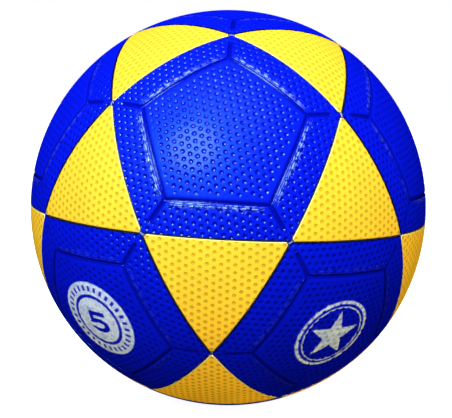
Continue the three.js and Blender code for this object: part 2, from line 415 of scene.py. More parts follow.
pentagon_seam = PENTAGON_APOTHEM * BALL_RADIUS
triangle_seam = TRIANGLE_APOTHEM * BALL_RADIUS
print("a pentagon's sides are", round(pentagon_seam / MM, 1), "mm from its middle,")
print("its corners", round(corner_distance(pentagon_seam, 5) / MM, 1), "mm")

# %% [markdown]
# ## Trimming a panel
#
# The bent sheet is trimmed with straight cuts through the ball's centre, one for each side.
# Bisect cuts every selected face along a plane and can throw away what lies beyond it. Where
# four panels meet, the yellow tips stop 1.5 mm short, because a sharp tip of rubber would
# lift, and the two blue corners fill the place and touch each other along 3 mm. So a triangle
# loses its three tips, and a pentagon keeps a little more than its corner.

# %% Trim a panel
SEAM_GAP = 0.3 * MM
TIP_CUT = 1.5 * MM
EDGE_ROUND = 0.6 * MM
EDGE_CUTS = (0.12 * MM, 0.32 * MM, 0.6 * MM)
KNIFE = 1e-7
CORNER_REACH = 2 * DIMPLE_PITCH
OUTSIDE = -1


def bisect(direction, through=(0, 0, 0), keep_all=True):
    bpy.ops.mesh.bisect(
        plane_co=through, plane_no=direction, clear_outer=not keep_all, threshold=KNIFE
    )


def inside_outline(places, sides, seam):
    """How far inside the panel's outline each place lies, with the cuts at its corners."""
    half_gap = SEAM_GAP / 2
    from_side = seam - half_gap - distance_out(places, sides)[0]
    ahead, beside = distance_to_corner(places, sides)
    to_corner = corner_distance(seam, sides) - ahead
    if sides == 3:
        return np.minimum(from_side, to_corner - TIP_CUT - half_gap)
    from_tip = np.where(to_corner < 2 * TIP_CUT, TIP_CUT - half_gap - abs(beside), OUTSIDE)
    return np.minimum(np.maximum(from_side, from_tip), to_corner - half_gap)


def trim_panel(sheet, sides, seam):
    edge = seam - SEAM_GAP / 2
    corner = corner_distance(seam, sides)
    corner_cut = corner - SEAM_GAP / 2 - (TIP_CUT if sides == 3 else 0)
    for turn in corner_turns(sides):
        select_whole(sheet)
        bisect(cut_direction(turn, corner_cut), keep_all=False)
    for turn in side_turns(sides):
        select_whole(sheet)
        bisect(cut_direction(turn, edge), keep_all=sides == 5)
    for turn in corner_turns(sides):
        middles = face_middles(sheet)
        ahead, beside = distance_to_corner(middles, sides)
        outwards, across = corner_axes(turn)
        near = (corner - ahead < CORNER_REACH) & (middles @ outwards > 0)
        select_in_edit_mode(sheet, faces=near & (abs(beside) < CORNER_REACH))
        for inset in EDGE_CUTS:
            bisect(cut_direction(turn, corner_cut - inset))
        if sides == 5:
            for way in (1, -1):
                bisect(across, through=across * way * (TIP_CUT - SEAM_GAP / 2))
    outside = inside_outline(face_middles(sheet), sides, seam) < 0
    select_in_edit_mode(sheet, faces=outside)
    bpy.ops.mesh.delete(type="FACE")


# %% [markdown]
# ## Lines for the rounded edge
#
# A moulded panel has no sharp edge. A mesh can only bend where it has points, so three lines
# are cut just inside each side, and the pressing rounds the edge off between them.

# %% Cut the edge lines
def cut_edge_lines(sheet, sides, seam):
    edge = seam - SEAM_GAP / 2
    for side, turn in enumerate(side_turns(sides)):
        for inset in EDGE_CUTS:
            out, nearest, _ = distance_out(face_middles(sheet), sides)
            close = (nearest == side) & (out > edge - EDGE_ROUND - DIMPLE_PITCH)
            select_in_edit_mode(sheet, faces=close)
            bisect(cut_direction(turn, edge - inset))
    object_mode()


# %% [markdown]
# ## The groove and its spurs
#
# A groove runs round the middle of each pentagon, and from each of its corners a short spur
# points at the panel's corner. The inner side of the groove is a long soft shoulder, the outer
# side is a steep wall, and along the wall's top lies a band with fine creases: the mould's
# imitation of a stitched seam. A list of distances and depths describes the section. The faces
# are cut along each of those distances first, so that the slopes come out clean when the
# points are pressed in.

# %% Cut the lines of the groove
GROOVE_INSET = 16.5 * MM
GROOVE_SECTION = np.array([
    (-2.4, 0.0),
    (-1.4, 0.1),
    (-0.7, 0.38),
    (-0.15, 0.86),
    (0.15, 0.86),
    (0.4, 0.4),
    (0.65, 0.0),
    (1.15, -0.06),
    (1.4, 0.16),
    (1.65, 0.0),
    (2.2, -0.04),
    (2.45, 0.14),
    (2.7, 0.0),
]) * MM
SPUR_SECTION = np.array([(0.0, 0.8), (0.4, 0.64), (0.95, 0.22), (1.6, 0.0)]) * MM
SPUR_END_INSET = 5.5 * MM


def cut_groove(sheet, seam):
    groove = seam - GROOVE_INSET
    for turn in corner_turns(5):
        outwards, across = corner_axes(turn)
        lines = [0] + [way * step for step in SPUR_SECTION[1:, 0] for way in (1, -1)]
        for line in lines:
            middles = face_middles(sheet)
            out, _, _ = distance_out(middles, 5)
            near = (abs(middles @ np.array(across)) < DIMPLE_PITCH) & (middles @ outwards > 0)
            near &= out > groove + GROOVE_SECTION[0, 0] - MM
            select_in_edit_mode(sheet, faces=near)
            bisect(across, through=across * line)
    for side, turn in enumerate(side_turns(5)):
        for step in GROOVE_SECTION[:, 0]:
            out, nearest, _ = distance_out(face_middles(sheet), 5)
            near = (nearest == side) & (abs(out - groove - step) < DIMPLE_PITCH)
            select_in_edit_mode(sheet, faces=near)
            bisect(cut_direction(turn, groove + step))
    object_mode()


# %% [markdown]
# ## The stitched band and the spurs
#
# The section list gives the groove's depth at each distance out. Across the band beside it
# comes a dent every 5.1 mm, where one stitch ends and the next begins. A spur is measured from
# its own middle line, which has two ends, so it runs out round and soft.

# %% Depths of the groove, the band and the spurs
STITCH_LENGTH = 5.1 * MM
STITCH_DENT = 0.18 * MM
STITCH_DENT_ENDS = (0.36, 0.44)
STITCH_BAND = (0.45 * MM, 2.9 * MM)
STITCH_END = 20.5 * MM
BAND_FADE = 0.3 * MM
BAND_END_FADE = 1.0 * MM


def groove_depth(out, along, groove):
    """The groove's depth, with a dent across the stitched band at each end of a stitch."""
    from_line = out - groove
    depth = np.interp(from_line, GROOVE_SECTION[:, 0], GROOVE_SECTION[:, 1])
    stitch = np.abs(np.mod(along / STITCH_LENGTH, 1) - 0.5)
    dent = STITCH_DENT * smooth_step(stitch, *STITCH_DENT_ENDS)
    in_band = (from_line > 2 * STITCH_BAND[0]) & (from_line < STITCH_BAND[1])
    return depth + dent * in_band * (abs(along) < STITCH_END)


def band_places(along, from_line):
    """For each place: how far along and across the stitched band, and 1 inside it."""
    in_band = smooth_step(from_line, STITCH_BAND[0], 2 * STITCH_BAND[0])
    in_band *= 1 - smooth_step(from_line, STITCH_BAND[1] - BAND_FADE, STITCH_BAND[1])
    in_band *= 1 - smooth_step(abs(along), STITCH_END, STITCH_END + BAND_END_FADE)
    return np.stack([along / MM, from_line / MM, in_band], 1)


def spur_distance(places, seam):
    """How far each place is from the middle line of the nearest spur."""
    start = corner_distance(seam - GROOVE_INSET, 5)
    end = corner_distance(seam, 5) - SPUR_END_INSET - SPUR_SECTION[-1, 0]
    ahead, beside = distance_to_corner(places, 5)
    beyond = np.maximum(0, ahead - end) + np.maximum(0, start - ahead)
    return np.hypot(beside, beyond)


# %% [markdown]
# ## Pressing the shapes in
#
# Now every point knows its own depth in its dimple, and the section lists say how deep the
# groove, the spurs and the rounded edge go at its place. Where the groove runs, the mould has
# no dimples, so their depth fades out there. Five attributes stay on the mesh for the rubber's
# finish. Three are in millimetres: hollow is the whole depth, groove the depth of the groove
# and the spurs alone, and rim the distance from the panel's edge. Tip is 1 where a corner's
# coat is worn. Stitching holds a place along and across the stitched band in millimetres, with
# 1 as its third number inside the band.

# %% Press the groove, the spurs and the edge into a panel
DIMPLES_FROM_EDGE = (0.1 * MM, 1.0 * MM)
DIMPLES_FROM_SPUR = (1.5 * MM, 2.3 * MM)
DIMPLES_FADE = (-4.4 * MM, -3.2 * MM)
DIMPLES_RESUME = (2.6 * MM, 3.4 * MM)
CALM_FADE = 1.0 * MM
TIP_REACH = 8.0 * MM
BLUE_TIP_WIDTH = TIP_CUT + 0.2 * MM
BLUE_TIP_REACH = (0.25 * MM, 0.45 * MM)


def keep_attribute(sheet, name, kind, values):
    attribute = sheet.data.attributes.new(name, kind, "POINT")
    field = "vector" if kind == "FLOAT_VECTOR" else "value"
    attribute.data.foreach_set(field, values.astype(np.float32).ravel())


def press_panel(sheet, sides, seam, calm_radius=0, calm_share=0):
    """Presses one panel. Inside the calm radius only a share of the dimples' depth stays."""
    points = points_of(sheet)
    radius = np.linalg.norm(points, axis=1)
    out, _, along = distance_out(points, sides)
    inside = np.maximum(0, inside_outline(points, sides, seam))
    ahead, beside = distance_to_corner(points, sides)
    to_corner = corner_distance(seam, sides) - ahead
    dimples = smooth_step(inside, *DIMPLES_FROM_EDGE)
    pressed = np.zeros(len(points))
    if sides == 5:
        groove = seam - GROOVE_INSET
        before = 1 - smooth_step(out - groove, *DIMPLES_FADE)
        dimples *= np.maximum(before, smooth_step(out - groove, *DIMPLES_RESUME))
        spur = spur_distance(points, seam)
        dimples *= smooth_step(spur, *DIMPLES_FROM_SPUR)
        in_spur = np.interp(spur, SPUR_SECTION[:, 0], SPUR_SECTION[:, 1])
        pressed = np.maximum(groove_depth(out, along, groove), in_spur)
        stitching = band_places(along, out - groove)
        worn = (abs(beside) < BLUE_TIP_WIDTH) * (1 - smooth_step(to_corner, *BLUE_TIP_REACH))
    else:
        stitching = np.zeros((len(points), 3))
        worn = 1 - smooth_step(to_corner, TIP_CUT, TIP_REACH)
    if calm_radius:
        from_middle = np.hypot(points[:, 0], points[:, 1])
        beyond = smooth_step(from_middle, calm_radius, calm_radius + CALM_FADE)
        dimples *= calm_share + (1 - calm_share) * beyond
    short = np.clip(EDGE_ROUND - inside, 0, EDGE_ROUND)
    rounding = EDGE_ROUND - np.sqrt(EDGE_ROUND**2 - short**2)
    depth = (BALL_RADIUS - radius) * dimples + pressed + rounding
    move_points(sheet, points * ((BALL_RADIUS - depth) / radius)[:, None])
    for name, values in (("hollow", depth / MM), ("groove", pressed / MM), ("rim", inside / MM)):
        keep_attribute(sheet, name, "FLOAT", values)
    keep_attribute(sheet, "tip", "FLOAT", worn)
    keep_attribute(sheet, "stitching", "FLOAT_VECTOR", stitching)


# %% [markdown]
# ## Giving the skin its thickness
#
# A panel is 2.2 mm of rubber. Extruding the open edge and scaling it towards the ball's centre
# makes a wall that follows the great circles. Two more rings, each a smaller copy of the edge,
# and a fan close the inner face. The result is one closed body, as the real panel is.

# %% Close a panel
COVER_WALL = 2.2 * MM
INNER_RINGS = (0.7, 0.35)


def close_panel(sheet):
    make_active(sheet)
    bpy.ops.object.mode_set(mode="EDIT")
    select_open_edge()
    bpy.ops.mesh.extrude_region_move()
    inside = BALL_RADIUS - COVER_WALL
    picked = picked_points(sheet)
    points = points_of(sheet)
    points[picked] *= (inside / np.linalg.norm(points[picked], axis=1))[:, None]
    move_points(sheet, points)
    reach = np.arccos(points[picked][:, 2] / inside)
    heading = np.arctan2(points[picked][:, 1], points[picked][:, 0])
    for share in INNER_RINGS:
        bpy.ops.object.mode_set(mode="EDIT")
        bpy.ops.mesh.extrude_region_move()
        picked = picked_points(sheet)
        points = points_of(sheet)
        flat = np.sin(reach * share)
        ring = np.stack([flat * np.cos(heading), flat * np.sin(heading), np.cos(reach * share)], 1)
        points[picked] = ring * inside
        move_points(sheet, points)
    bpy.ops.object.mode_set(mode="EDIT")
    bpy.ops.mesh.edge_face_add()
    bpy.ops.mesh.poke()
    bpy.ops.mesh.select_all(action="SELECT")
    bpy.ops.mesh.normals_make_consistent(inside=False)
    object_mode()
    sheet.data.polygons.foreach_set("use_smooth", np.ones(len(sheet.data.polygons), bool))


# %% [markdown]
# ## The two patterns
#
# All twenty triangles are alike, and so are eleven of the pentagons, so one of each is modelled
# and copied to its places later. Each goes through the same steps: a sheet, bent and trimmed,
# cut along its lines, pressed, and closed.

# %% Model the triangle and the pentagon
def bent_panel(dimple, name, sides, seam):
    sheet = dimple_sheet(dimple, name, corner_distance(seam, sides))
    bend_over_ball(sheet)
    trim_panel(sheet, sides, seam)
    cut_edge_lines(sheet, sides, seam)
    return sheet


triangle = bent_panel(soft_dimple, "triangle_pattern", 3, triangle_seam)
press_panel(triangle, 3, triangle_seam)
close_panel(triangle)
print("triangle panel:", len(triangle.data.polygons), "faces")

pentagon = bent_panel(deep_dimple, "pentagon_pattern", 5, pentagon_seam)
cut_groove(pentagon, pentagon_seam)
valve_pentagon = copy_of(pentagon, "valve_pentagon_pattern")
badge_pentagon = copy_of(pentagon, "badge_pentagon_pattern")
press_panel(pentagon, 5, pentagon_seam)
close_panel(pentagon)
print("pentagon panel:", len(pentagon.data.polygons), "faces")

# %% [markdown]
# ## The panel with the badge
#
# One panel carries a round badge printed with thick ink, which partly fills the dimples. So
# under the badge only a third of their depth stays.

# %% Press the panel for the badge
BADGE_RADIUS = 21.8
DEPTH_UNDER_INK = 0.3

press_panel(badge_pentagon, 5, pentagon_seam, BADGE_RADIUS * MM, DEPTH_UNDER_INK)
close_panel(badge_pentagon)
print("badge panel:", len(badge_pentagon.data.polygons), "faces")

# %% [markdown]
# ## The panel with the valve
#
# One pentagon has no dimples round its middle and a hole for the valve. The hole is cut with a
# boolean modifier: the cutter is a cylinder whose upper end flares out, which leaves the
# chamfer that a moulded hole has.

# %% Cut the valve hole
VALVE_HOLE_RADIUS = 4.9 * MM
HOLE_CHAMFER = 0.5 * MM
BARE_RADIUS = 7.0 * MM
CUTTER_SIDES = 48
CUTTER_HEIGHT = 12 * MM

press_panel(valve_pentagon, 5, pentagon_seam, BARE_RADIUS)
close_panel(valve_pentagon)
deselect_all()
bpy.ops.mesh.primitive_cylinder_add(
    vertices=CUTTER_SIDES,
    radius=VALVE_HOLE_RADIUS,
    depth=CUTTER_HEIGHT,
    location=(0, 0, BALL_RADIUS - HOLE_CHAMFER - CUTTER_HEIGHT / 2),
)
cutter = bpy.context.object
bpy.ops.object.transform_apply(location=True)
top = BALL_RADIUS - HOLE_CHAMFER
select_in_edit_mode(cutter, faces=face_middles(cutter)[:, 2] > top - HOLE_CHAMFER / 10)
bpy.ops.mesh.extrude_region_move(TRANSFORM_OT_translate={"value": (0, 0, 2 * HOLE_CHAMFER)})
flare = 1 + 2 * HOLE_CHAMFER / VALVE_HOLE_RADIUS
bpy.ops.transform.resize(value=(flare, flare, 1))
make_active(valve_pentagon)
cut = valve_pentagon.modifiers.new("valve_hole", "BOOLEAN")
cut.operation = "DIFFERENCE"
cut.object = cutter
bpy.ops.object.modifier_apply(modifier=cut.name)
bpy.data.objects.remove(cutter)
print("valve panel:", len(valve_pentagon.data.polygons), "faces")

# %% [markdown]
# ## Colours and a way to write nodes
#
# A colour picked from a photograph is an sRGB value, and the renderer works with light, so one
# function turns the hex value to linear. One more adds a node with its settings and its
# links and hands back the output that the next node needs, which keeps each material as short
# as its own idea. The mix node has a socket for each kind of value, so those that carry
# colours are named here.

# %% Helpers for materials
MIX_A, MIX_B = 6, 7
COLOUR_MIX = {"data_type": "RGBA", "out": 2}


def colour(hex_value):
    """An sRGB hex value as linear red, green, blue and alpha."""
    parts = [int(hex_value[i:i + 2], 16) / 255 for i in (1, 3, 5)]
    return tuple(
        part / 12.92 if part <= 0.04045 else ((part + 0.055) / 1.055) ** 2.4 for part in parts
    ) + (1.0,)


def add_node(tree, kind, inputs=None, out=0, **settings):
    """Adds a node and gives one of its outputs. An input is a value, or an output to link."""
    node = tree.nodes.new("ShaderNode" + kind)
    for name, value in settings.items():
        setattr(node, name, value)
    for name, value in (inputs or {}).items():
        if isinstance(value, bpy.types.NodeSocket):
            tree.links.new(value, node.inputs[name])
        else:
            node.inputs[name].default_value = value
    return node.outputs[out] if node.outputs else None


def new_material(name):
    material = bpy.data.materials.new(name)
    material.use_nodes = True
    tree = material.node_tree
    tree.nodes.clear()
    return material, tree


# %% [markdown]
# ## The cover's rubber
#
# The cover is moulded natural rubber with a sprayed colour coat: strong colour, a broad soft
# sheen on the raised skin, which the mould left slightly matt, and a sharper glint inside the
# hollows, which polished pins pressed. A finish like this has to know where on the panel it
# is, and the attributes kept by the pressing say so. Noise adds what no mould gives: clouds
# 25 mm wide, fine grain, and streaks in the stitched band, drawn a little coarser than the
# mould's.

# %% Read the marks on a panel
CLOUD_SIZE = 25 * MM
GRAIN_SIZE = 0.9 * MM
STREAKS_PER_MM = (0.4, 1.4, 0.0)


def panel_marks(tree):
    """What the finish reads: the place, the kept attributes and three kinds of noise."""
    place = add_node(tree, "TexCoord", out="Object")
    marks = {"place": place}
    for name in ("hollow", "groove", "rim", "tip"):
        marks[name] = add_node(tree, "Attribute", attribute_name=name, out="Fac")
    stitching = add_node(tree, "Attribute", attribute_name="stitching", out="Vector")
    marks["band"] = add_node(tree, "SeparateXYZ", {"Vector": stitching}, out="Z")
    in_band = add_node(tree, "VectorMath", {0: stitching, 1: STREAKS_PER_MM}, operation="MULTIPLY")
    for name, where, scale, detail in (
        ("cloud", place, 1 / CLOUD_SIZE, 3.0),
        ("grain", place, 1 / GRAIN_SIZE, 2.0),
        ("streak", in_band, 1.0, 1.0),
    ):
        noise = {"Vector": where, "Scale": scale, "Detail": detail}
        marks[name] = add_node(tree, "TexNoise", noise)
    return marks


# %% [markdown]
# ## The colour of the coat
#
# The colour is built up in thin layers, each mixed over the last by its own share. The walls
# of the pits are painted a darker colour than their floors: painted shade. The groove gets
# painted shade too, darker where it is deeper, clouds dull the coat a little at random, and on
# the ridges of the stitched band short pale dashes, more in some places than in others, are
# painted highlights. Each range below goes from a depth in millimetres, or a strength of
# noise, to a share.

# %% Colour the coat
# The pale blue of the painted highlights on the stitched band's ridges.
PAINTED_HIGHLIGHT_FLECK = "#a6ccff"
# PIT_WALL and PIT_SHADE: painted shade, darkest on a pit's wall, less on its floor.
PIT_WALL = {"From Min": 0.02, "From Max": 0.14}
PIT_SHADE = {"From Min": 0.26, "From Max": 0.44, "To Min": 0.85, "To Max": 0.35}
# Painted shade in the groove, in the edge colour, darker as the groove gets deeper.
GROOVE_SHADE = {"From Min": 0.16, "From Max": 0.7, "To Max": 0.35}
DULL_CLOUDS = {"From Min": 0.35, "From Max": 0.75, "To Max": 0.25}
RIDGE_TOP = {"From Min": 0.06, "From Max": 0.0}
# These two place the painted highlights in dashes and in patches.
HIGHLIGHT_DASHES = {"From Min": 0.44, "From Max": 0.52}
HIGHLIGHT_PATCHES = {"From Min": 0.34, "From Max": 0.5}


def coat_colour(tree, marks, base, pit_shade_and_dull, edge, worn):
    """The coat's colour, with painted shade. Worn: the most that painted highlights cover."""
    wall, shade, groove_shade, dull, painted_highlight, dash, patch = (
        add_node(tree, "MapRange", {"Value": marks[mark], **span})
        for mark, span in (
            ("hollow", PIT_WALL),
            ("hollow", PIT_SHADE),
            ("groove", GROOVE_SHADE),
            ("cloud", DULL_CLOUDS),
            ("hollow", RIDGE_TOP),
            ("streak", HIGHLIGHT_DASHES),
            ("cloud", {**HIGHLIGHT_PATCHES, "To Max": worn}),
        )
    )
    # The share of painted shade in the pits.
    shade = add_node(tree, "Math", {0: wall, 1: shade}, operation="MULTIPLY")
    # The painted highlight: ridge tops, in dashes, inside the band, in patches.
    for share in (dash, marks["band"], patch):
        painted_highlight = add_node(tree, "Math", {0: painted_highlight, 1: share}, operation="MULTIPLY")
    coat = colour(base)
    for share, layer in ((shade, pit_shade_and_dull), (groove_shade, edge), (dull, pit_shade_and_dull), (painted_highlight, PAINTED_HIGHLIGHT_FLECK)):
        layers = {0: share, MIX_A: coat, MIX_B: colour(layer)}
        coat = add_node(tree, "Mix", layers, **COLOUR_MIX)
    return coat


# %% [markdown]
# ## The gloss, the edge and the whole finish
#
# Along the very edge the colour changes: on the blue panels to a dark navy that is partly dirt
# and partly painted shade of the seam, on the yellow ones to a pale rim where the coat is thin,
# and at the tips it is worn. A print is thinner in the pits, because its stamp hardly reaches
# them. The pits are smoother than the skin and carry more of the clear lacquer, and so do a few
# flecks of the stitched band, which glint. One bump node takes the grain and the band's streaks
# together.

# %% Make the cover finish
RUBBER_IOR = 1.52
SKIN_SPECULAR = 0.4
SHEEN_TINT = "#6cffff"
LACQUER_IOR = 1.6
LACQUER_ROUGHNESS = 0.12
GRAIN_HEIGHT = 0.05
STREAK_HEIGHT = 0.55
EDGE_START = 0.7
# The usual share of painted highlight dashes on a panel's stitched band.
USUAL_HIGHLIGHT = 0.1
SKIN_TO_PIT_ROUGHNESS = {"From Min": 0.05, "From Max": 0.3, "To Min": 0.45, "To Max": 0.2}
SKIN_TO_PIT_LACQUER = {"From Min": 0.1, "From Max": 0.35, "To Min": 0.1}
SKIN_TO_PIT_INK = {"From Min": 0.1, "From Max": 0.45, "To Min": 1.0, "To Max": 0.8}
GLINTING_FLECKS = {"From Min": 0.52, "From Max": 0.6}


def cover_rubber(
    name, base, pit_shade_and_dull, edge, worn_tip, edge_width, worn=USUAL_HIGHLIGHT, make_print=None
):
    """Coated rubber. A print is a function that gives the share of ink and its colour."""
    material, tree = new_material(name)
    marks = panel_marks(tree)
    # Worn here is the share of painted highlight dashes on the stitched band.
    coat = coat_colour(tree, marks, base, pit_shade_and_dull, edge, worn)
    # On the blue panels the edge colour is a dark navy, partly dirt and partly painted seam shade.
    edge_colours = {0: marks["tip"], MIX_A: colour(edge), MIX_B: colour(worn_tip)}
    thin = add_node(tree, "Mix", edge_colours, **COLOUR_MIX)
    inwards = {"From Min": edge_width * EDGE_START, "From Max": edge_width}
    kept = add_node(tree, "MapRange", {"Value": marks["rim"], **inwards})
    coat = add_node(tree, "Mix", {0: kept, MIX_A: thin, MIX_B: coat}, **COLOUR_MIX)
    if make_print:
        inked, ink = make_print(tree, marks["place"])
        reached = add_node(tree, "MapRange", {"Value": marks["hollow"], **SKIN_TO_PIT_INK})
        inked = add_node(tree, "Math", {0: inked, 1: reached}, operation="MULTIPLY")
        coat = add_node(tree, "Mix", {0: inked, MIX_A: coat, MIX_B: ink}, **COLOUR_MIX)

    rough = add_node(tree, "MapRange", {"Value": marks["hollow"], **SKIN_TO_PIT_ROUGHNESS})
    lacquer = add_node(tree, "MapRange", {"Value": marks["hollow"], **SKIN_TO_PIT_LACQUER})
    fleck = add_node(tree, "MapRange", {"Value": marks["streak"], **GLINTING_FLECKS})
    fleck = add_node(tree, "Math", {0: fleck, 1: marks["band"]}, operation="MULTIPLY")
    lacquer = add_node(tree, "Math", {0: lacquer, 1: fleck}, operation="MAXIMUM")
    streaks = marks["streak"]
    for share in (STREAK_HEIGHT, marks["band"]):
        streaks = add_node(tree, "Math", {0: streaks, 1: share}, operation="MULTIPLY")
    heights = {0: marks["grain"], 1: GRAIN_HEIGHT, 2: streaks}
    height = add_node(tree, "Math", heights, operation="MULTIPLY_ADD")
    normal = add_node(tree, "Bump", {"Height": height, "Strength": 1.0, "Distance": MM})
    skin = {
        "Base Color": coat,
        "Roughness": rough,
        "IOR": RUBBER_IOR,
        "Specular IOR Level": SKIN_SPECULAR,
        "Specular Tint": colour(SHEEN_TINT),
        "Coat Weight": lacquer,
        "Coat Roughness": LACQUER_ROUGHNESS,
        "Coat IOR": LACQUER_IOR,
        "Coat Normal": normal,
        "Normal": normal,
    }
    shader = add_node(tree, "BsdfPrincipled", skin)
    add_node(tree, "OutputMaterial", {"Surface": shader})
    return material


# %% [markdown]
# ## The prints
#
# Two pentagons carry a print in silver white. One has a round badge with the ball's size, a
# plain 5, inside a ring and a scale of short ticks. The other has a star in a ring. Ink can be
# a texture, a decal or a mask worked out in the material. The mask needs no image and stays
# sharp close up: a few nodes turn a point's place into millimetres right of and above the
# panel's middle, and simple shapes are tested against that. Bars and ovals are enough for the
# number, and a folded angle repeats one tick or one point of the star all the way round.

# %% Shapes for the prints
INK_EDGE = 0.25


def right_and_up(centre):
    """The directions right and up on the ball at a panel's middle, as seen from outside."""
    right = pole.cross(centre).normalized()
    return right, centre.cross(right)


def across_panel(tree, place, centre):
    """Millimetres right of and above a panel's middle, as a vector."""
    x, y = (
        add_node(tree, "VectorMath", {0: place, 1: way / MM}, "Value", operation="DOT_PRODUCT")
        for way in right_and_up(centre)
    )
    return add_node(tree, "CombineXYZ", {"X": x, "Y": y})


def within(tree, distance, limit):
    """1 where the distance is under the limit, 0 beyond it, with a soft edge of ink."""
    edge = {"From Min": limit - INK_EDGE, "From Max": limit + INK_EDGE}
    return add_node(tree, "MapRange", {"Value": distance, **edge, "To Min": 1.0, "To Max": 0.0})


def inside_bar(tree, flat, middle, size):
    moved = add_node(tree, "VectorMath", {0: flat, 1: (*middle, 0)}, operation="SUBTRACT")
    away = add_node(tree, "VectorMath", {0: moved}, operation="ABSOLUTE")
    half = (size[0] / 2, size[1] / 2, 0)
    past = add_node(tree, "VectorMath", {0: away, 1: half}, operation="SUBTRACT")
    x, y = (add_node(tree, "SeparateXYZ", {"Vector": past}, out=axis) for axis in "XY")
    furthest = add_node(tree, "Math", {0: x, 1: y}, operation="MAXIMUM")
    return within(tree, furthest, 0)


def inside_oval(tree, flat, middle, radii):
    moved = add_node(tree, "VectorMath", {0: flat, 1: (*middle, 0)}, operation="SUBTRACT")
    stretch = (1, radii[0] / radii[1], 0)
    evened = add_node(tree, "VectorMath", {0: moved, 1: stretch}, operation="MULTIPLY")
    distance = add_node(tree, "VectorMath", {0: evened}, "Value", operation="LENGTH")
    return within(tree, distance, radii[0])


def inside_ring(tree, flat, inner, outer):
    distance = add_node(tree, "VectorMath", {0: flat}, "Value", operation="LENGTH")
    inwards = within(tree, distance, inner)
    outwards = within(tree, distance, outer)
    return add_node(tree, "Math", {0: outwards, 1: inwards}, operation="SUBTRACT")


def folded_turn(tree, flat, repeats):
    """The angle from straight up, folded to and fro so that a shape repeats round the middle."""
    x, y = (add_node(tree, "SeparateXYZ", {"Vector": flat}, out=axis) for axis in "XY")
    turn = add_node(tree, "Math", {0: x, 1: y}, operation="ARCTAN2")
    return add_node(tree, "Math", {0: turn, 1: math.pi / repeats}, operation="PINGPONG")


def cut_out(tree, shape, holes):
    """What is left of a shape when others are taken out of it."""
    for hole in holes:
        shape = add_node(tree, "Math", {0: shape, 1: hole}, operation="SUBTRACT", use_clamp=True)
    return shape


# %% [markdown]
# ## The ink and the size badge
#
# The ink is silver white and streaky, as a worn stamp leaves it. On the badge it makes the
# disc, and the number, the ring and the ticks are bare coat, so they are cut out of the disc.
# The 5 is a top bar, a stem and an oval bowl with a hole and a mouth. Each is given by its
# middle and its width and height, or its two radii, in millimetres from the panel's middle.

# %% The size badge
INK_STREAK = 4 * MM
INK_COVER = {"From Min": 0.35, "From Max": 0.6, "To Min": 0.6, "To Max": 0.98}
SILVER_WHITE = "#c6dcff"
BADGE_PANEL = 10
BADGE_RING = (13.3, 15.2)
TICK_RING = (17.0, 20.0)
TICKS = 30
TICK_WIDTH = 1.7
FIVE_TOP = ((0.9, 4.5), (10.4, 2.6))
FIVE_STEM = ((-3.4, 2.3), (2.8, 5.2))
FIVE_BOWL = ((0.7, -2.7), (6.5, 4.3))
FIVE_HOLE = ((0.3, -2.7), (3.6, 1.7))
FIVE_MOUTH = ((-4.3, -2.7), (5.0, 2.0))


def silver_ink(tree, place, shape):
    noise = {"Vector": place, "Scale": 1 / INK_STREAK, "Detail": 3.0, "Distortion": 1.5}
    streak = add_node(tree, "TexNoise", noise)
    cover = add_node(tree, "MapRange", {"Value": streak, **INK_COVER})
    inked = add_node(tree, "Math", {0: shape, 1: cover}, operation="MULTIPLY")
    return inked, colour(SILVER_WHITE)


def size_badge(tree, place):
    flat = across_panel(tree, place, pentagon_centres[BADGE_PANEL])
    disc = inside_oval(tree, flat, (0, 0), (BADGE_RADIUS, BADGE_RADIUS))
    top_bar = inside_bar(tree, flat, *FIVE_TOP)
    stem = inside_bar(tree, flat, *FIVE_STEM)
    hole = inside_oval(tree, flat, *FIVE_HOLE)
    mouth = inside_bar(tree, flat, *FIVE_MOUTH)
    bowl = cut_out(tree, inside_oval(tree, flat, *FIVE_BOWL), (hole, mouth))
    ring = inside_ring(tree, flat, *BADGE_RING)
    fold = folded_turn(tree, flat, TICKS)
    distance = add_node(tree, "VectorMath", {0: flat}, "Value", operation="LENGTH")
    beside = add_node(tree, "Math", {0: fold, 1: distance}, operation="MULTIPLY")
    both = {0: within(tree, beside, TICK_WIDTH / 2), 1: inside_ring(tree, flat, *TICK_RING)}
    ticks = add_node(tree, "Math", both, operation="MULTIPLY")
    return silver_ink(tree, place, cut_out(tree, disc, (top_bar, stem, bowl, ring, ticks)))


# %% [markdown]
# ## The star
#
# The star is ink. One edge of one point is a straight line between its tip and a notch, and
# folding the angle five times makes all ten edges of it. Two rings go round it.

# %% The star in its rings
STAR_PANEL = 6
STAR_POINTS = 5
STAR_POINT = 14.5
STAR_NOTCH = 5.9
STAR_RINGS = ((18.8, 20.4), (16.6, 17.2))


def star_in_ring(tree, place):
    flat = across_panel(tree, place, pentagon_centres[STAR_PANEL])
    half_point = math.pi / STAR_POINTS
    notch = Vector((STAR_NOTCH * math.cos(half_point), STAR_NOTCH * math.sin(half_point)))
    side = notch - Vector((STAR_POINT, 0))
    outwards = Vector((side.y, -side.x)).normalized()
    lean = math.atan2(outwards.y, outwards.x)
    fold = folded_turn(tree, flat, STAR_POINTS)
    distance = add_node(tree, "VectorMath", {0: flat}, "Value", operation="LENGTH")
    reach = add_node(tree, "Math", {0: fold, 1: lean}, operation="SUBTRACT")
    reach = add_node(tree, "Math", {0: reach}, operation="COSINE")
    reach = add_node(tree, "Math", {0: reach, 1: distance}, operation="MULTIPLY")
    shape = within(tree, reach, STAR_POINT * outwards.x)
    for radii in STAR_RINGS:
        ring = inside_ring(tree, flat, *radii)
        shape = add_node(tree, "Math", {0: shape, 1: ring}, operation="MAXIMUM")
    return silver_ink(tree, place, shape)


# %% [markdown]
# ## The five cover finishes
#
# A coat is given by its colour, the darker colour painted in its pits as shade, its edge colour,
# which on the blue also paints shade in the groove and in part the seam, its worn tips and the
# width of its edge in millimetres. The front panel, which faces the key light, gets far more of
# the painted highlights on its stitched band than the others.

